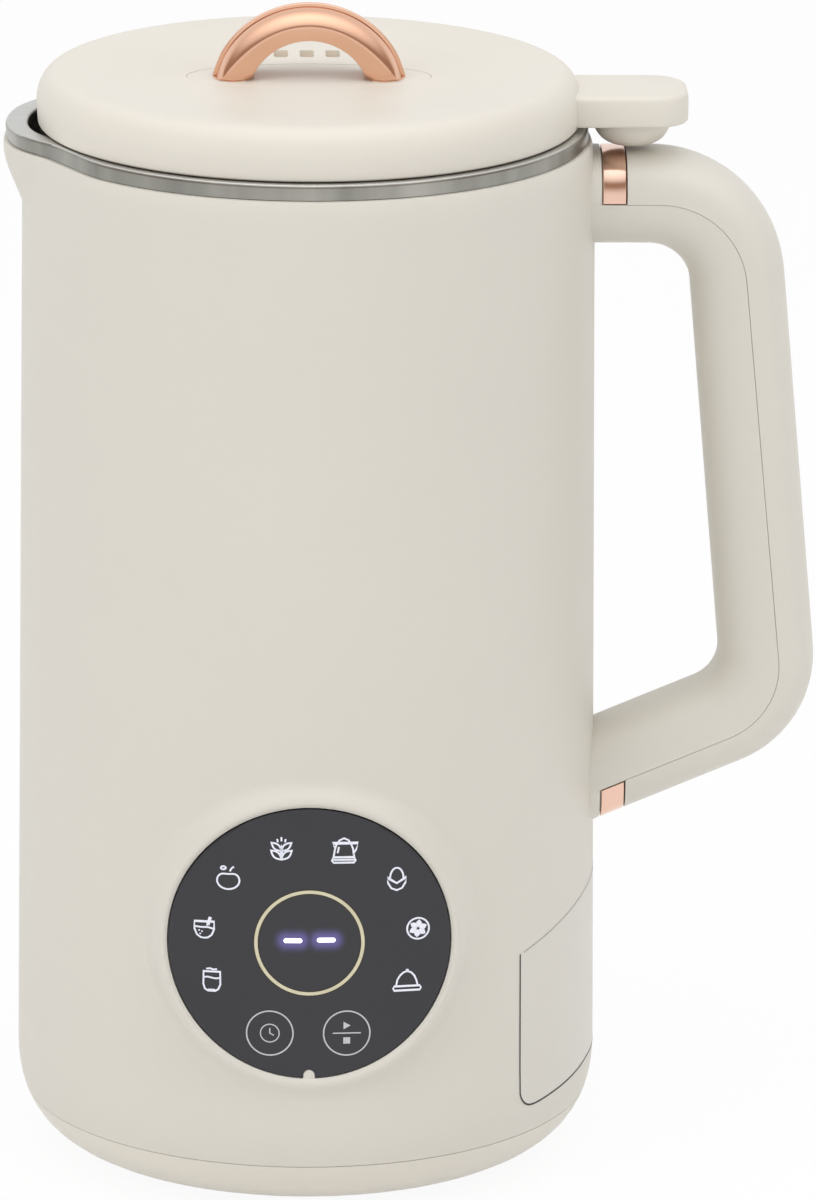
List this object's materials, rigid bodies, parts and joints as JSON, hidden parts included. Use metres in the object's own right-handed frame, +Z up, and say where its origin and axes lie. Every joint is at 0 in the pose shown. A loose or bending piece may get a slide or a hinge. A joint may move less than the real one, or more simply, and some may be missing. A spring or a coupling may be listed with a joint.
{
  "type": "soy milk maker",
  "caption": "Tall round countertop blender jug with heated steel cup, pouring spout, closed handle, round touch panel and lift-off lid with an arch pull.",
  "frame": {"origin": "centre of the bounding box's footprint, on the plane the feet stand on", "axes": "+Z up along the jug; -Y is the front with the touch panel; +X is the handle's side, -X the spout's"},
  "size_m": [0.1848, 0.134, 0.2674],
  "materials": {
    "cream": "satin moulded",
    "lid_cream": "satin moulded",
    "beige": "matt moulded",
    "rose_gold": "polished rose gold plating",
    "steel": "brushed",
    "dark_window": "smooth dark window",
    "lamp": "lit display",
    "rubber": "matt",
    "silicone": "matt silicone",
    "board_green": "satin board",
    "copper": "enamelled copper",
    "iron": "laminated",
    "black": "matt",
    "brass": "plain",
    "aluminium": "cast"
  },
  "bodies": {
    "jug": {"outer_shell": "cream", "base_cover": "cream", "handle_inner": "cream", "handle_outer": "cream", "chassis": "beige", "handle_trim_upper": "rose_gold", "handle_trim_lower": "rose_gold", "steel_cup": "steel", "heating_element": "steel", "upper_bearing": "steel", "lower_bearing": "steel", "base_screw_1": "steel", "base_screw_2": "steel", "base_screw_3": "steel", "base_screw_4": "steel", "handle_screw_upper": "steel", "handle_screw_lower": "steel", "display_window": "dark_window", "digit_display": "lamp", "foot_1": "rubber", "foot_2": "rubber", "foot_3": "rubber", "foot_4": "rubber", "shaft_seal": "silicone", "control_board": "board_green", "power_board": "board_green", "field_coil_left": "copper", "field_coil_right": "copper", "motor_stator": "iron", "carbon_brush_front": "black", "carbon_brush_rear": "black", "power_transformer": "black", "inlet_socket": "black", "reed_switch": "black", "touch_spring_left": "brass", "touch_spring_right": "brass", "brush_holder_front": "brass", "brush_holder_rear": "brass", "inlet_pin_live": "brass", "inlet_pin_neutral": "brass", "inlet_pin_earth": "brass", "upper_motor_bracket": "aluminium", "lower_motor_bracket": "aluminium", "thermostat": "aluminium"},
    "rotor": {"motor_shaft": "steel", "armature": "iron", "commutator": "copper", "cooling_fan": "black", "blade_lower": "steel", "blade_upper": "steel", "blade_nut": "steel"},
    "lid": {"lid_cover": "lid_cream", "handle_plate": "lid_cream", "lid_handle": "rose_gold", "steam_baffle": "beige", "magnet_cap": "lid_cream", "lid_magnet": "iron", "lid_liner": "silicone", "lid_seal": "silicone"}
  },
  "joints": [
    {"name": "lid_lift", "type": "slide", "parent": "jug", "child": "lid", "axis": [0, 0, 1], "range_m": [0, 0.12]},
    {"name": "blade_spin", "type": "hinge", "parent": "jug", "child": "rotor", "pos_m": [-0.02388, 0, 0.1], "axis": [0, 0, 1], "continuous": true}
  ]
}
